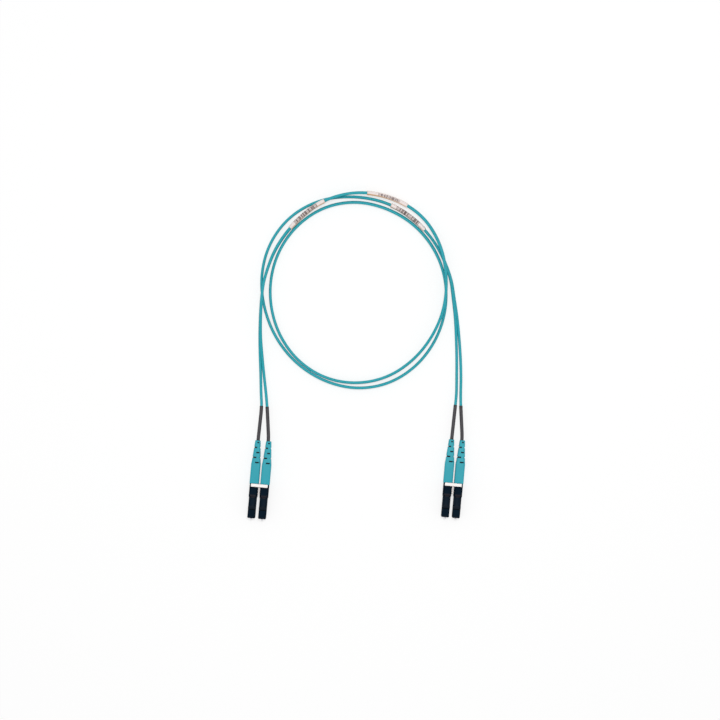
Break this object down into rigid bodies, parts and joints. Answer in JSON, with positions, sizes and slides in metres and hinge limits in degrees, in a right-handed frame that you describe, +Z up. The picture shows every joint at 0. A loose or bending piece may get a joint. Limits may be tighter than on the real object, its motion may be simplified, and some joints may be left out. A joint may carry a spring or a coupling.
{
  "type": "fiber optic patch cord",
  "caption": "Coiled duplex fiber patch cord with a clipped pair of small latching plugs at each end, slotted boots, strain relief tubes and label sleeves.",
  "frame": {"origin": "on the table, under the middle of the box round the plugs, clips, boots and strain relief tubes", "axes": "+Z up from the table; +X from the left pair of plugs to the right pair; +Y from the plugs to the turns of cord"},
  "size_m": [0.1258, 0.1907, 0.0088],
  "materials": {
    "housing_black": "moulded near-black engineering plastic, satin",
    "ferrule_ceramic": "polished zirconia ceramic",
    "flange_metal": "nickel plated, turned",
    "spring_steel": "bright spring wire",
    "crimp_metal": "nickel plated brass",
    "boot_aqua": "matte moulded elastomer",
    "sleeve_charcoal": "matte charcoal tube",
    "clip_white": "translucent off-white plastic",
    "jacket_aqua": "satin jacket",
    "yarn_aramid": "yellow aramid yarn",
    "fiber_buffer": "tight buffered glass fiber",
    "label_white": "heat-shrunk printed sleeve"
  },
  "bodies": {
    "root": {"left_a_front_housing": "housing_black", "left_a_rear_body": "housing_black", "left_a_spring": "spring_steel", "left_a_crimp_sleeve": "crimp_metal", "left_a_boot": "boot_aqua", "left_a_strain_sleeve": "sleeve_charcoal", "left_b_front_housing": "housing_black", "left_b_rear_body": "housing_black", "left_b_spring": "spring_steel", "left_b_crimp_sleeve": "crimp_metal", "left_b_boot": "boot_aqua", "left_b_strain_sleeve": "sleeve_charcoal", "right_a_front_housing": "housing_black", "right_a_rear_body": "housing_black", "right_a_spring": "spring_steel", "right_a_crimp_sleeve": "crimp_metal", "right_a_boot": "boot_aqua", "right_a_strain_sleeve": "sleeve_charcoal", "right_b_front_housing": "housing_black", "right_b_rear_body": "housing_black", "right_b_spring": "spring_steel", "right_b_crimp_sleeve": "crimp_metal", "right_b_boot": "boot_aqua", "right_b_strain_sleeve": "sleeve_charcoal", "left_duplex_clip": "clip_white", "right_duplex_clip": "clip_white", "cord_1_jacket": "jacket_aqua", "cord_1_yarn": "yarn_aramid", "cord_1_fiber": "fiber_buffer", "cord_2_jacket": "jacket_aqua", "cord_2_yarn": "yarn_aramid", "cord_2_fiber": "fiber_buffer", "label_left_end": "label_white", "label_middle": "label_white", "label_right_end": "label_white"},
    "left_a_trigger": {"left_a_trigger": "housing_black"},
    "left_a_latch": {"left_a_latch_arm": "housing_black"},
    "left_a_ferrule": {"left_a_ferrule": "ferrule_ceramic", "left_a_ferrule_flange": "flange_metal"},
    "left_b_trigger": {"left_b_trigger": "housing_black"},
    "left_b_latch": {"left_b_latch_arm": "housing_black"},
    "left_b_ferrule": {"left_b_ferrule": "ferrule_ceramic", "left_b_ferrule_flange": "flange_metal"},
    "right_a_trigger": {"right_a_trigger": "housing_black"},
    "right_a_latch": {"right_a_latch_arm": "housing_black"},
    "right_a_ferrule": {"right_a_ferrule": "ferrule_ceramic", "right_a_ferrule_flange": "flange_metal"},
    "right_b_trigger": {"right_b_trigger": "housing_black"},
    "right_b_latch": {"right_b_latch_arm": "housing_black"},
    "right_b_ferrule": {"right_b_ferrule": "ferrule_ceramic", "right_b_ferrule_flange": "flange_metal"}
  },
  "joints": [
    {"name": "left_a_trigger_press", "type": "hinge", "parent": "root", "child": "left_a_trigger", "pos_m": [-0.05904, -0.01451, 0.006], "axis": [0.9962, -0.0872, 0], "range_deg": [0, 16], "stiffness_Nm_per_rad": 0.0001},
    {"name": "left_a_latch_bend", "type": "hinge", "parent": "root", "child": "left_a_latch", "pos_m": [-0.06043, -0.0304, 0.00555], "axis": [-0.9962, 0.0872, 0], "range_deg": [0, 6.4], "stiffness_Nm_per_rad": 0.0001},
    {"name": "left_a_ferrule_slide", "type": "slide", "parent": "root", "child": "left_a_ferrule", "axis": [0.0872, 0.9962, 0], "range_m": [0, 0.0012], "stiffness_N_per_m": 2000, "deforming": ["left_a_spring"]},
    {"name": "left_b_trigger_press", "type": "hinge", "parent": "root", "child": "left_b_trigger", "pos_m": [-0.05282, -0.01506, 0.006], "axis": [0.9962, -0.0872, 0], "range_deg": [0, 16], "stiffness_Nm_per_rad": 0.0001},
    {"name": "left_b_latch_bend", "type": "hinge", "parent": "root", "child": "left_b_latch", "pos_m": [-0.05421, -0.03095, 0.00555], "axis": [-0.9962, 0.0872, 0], "range_deg": [0, 6.4], "stiffness_Nm_per_rad": 0.0001},
    {"name": "left_b_ferrule_slide", "type": "slide", "parent": "root", "child": "left_b_ferrule", "axis": [0.0872, 0.9962, 0], "range_m": [0, 0.0012], "stiffness_N_per_m": 2000, "deforming": ["left_b_spring"]},
    {"name": "right_a_trigger_press", "type": "hinge", "parent": "root", "child": "right_a_trigger", "pos_m": [0.05283, -0.01393, 0.006], "axis": [0.9962, -0.0872, 0], "range_deg": [0, 16], "stiffness_Nm_per_rad": 0.0001},
    {"name": "right_a_latch_bend", "type": "hinge", "parent": "root", "child": "right_a_latch", "pos_m": [0.05144, -0.02982, 0.00555], "axis": [-0.9962, 0.0872, 0], "range_deg": [0, 6.4], "stiffness_Nm_per_rad": 0.0001},
    {"name": "right_a_ferrule_slide", "type": "slide", "parent": "root", "child": "right_a_ferrule", "axis": [0.0872, 0.9962, 0], "range_m": [0, 0.0012], "stiffness_N_per_m": 2000, "deforming": ["right_a_spring"]},
    {"name": "right_b_trigger_press", "type": "hinge", "parent": "root", "child": "right_b_trigger", "pos_m": [0.05905, -0.01448, 0.006], "axis": [0.9962, -0.0872, 0], "range_deg": [0, 16], "stiffness_Nm_per_rad": 0.0001},
    {"name": "right_b_latch_bend", "type": "hinge", "parent": "root", "child": "right_b_latch", "pos_m": [0.05766, -0.03037, 0.00555], "axis": [-0.9962, 0.0872, 0], "range_deg": [0, 6.4], "stiffness_Nm_per_rad": 0.0001},
    {"name": "right_b_ferrule_slide", "type": "slide", "parent": "root", "child": "right_b_ferrule", "axis": [0.0872, 0.9962, 0], "range_m": [0, 0.0012], "stiffness_N_per_m": 2000, "deforming": ["right_b_spring"]}
  ],
  "couplings": [
    {"joint": "left_a_latch_bend", "follows": "left_a_trigger_press", "ratio": 0.4},
    {"joint": "left_b_latch_bend", "follows": "left_b_trigger_press", "ratio": 0.4},
    {"joint": "right_a_latch_bend", "follows": "right_a_trigger_press", "ratio": 0.4},
    {"joint": "right_b_latch_bend", "follows": "right_b_trigger_press", "ratio": 0.4}
  ]
}
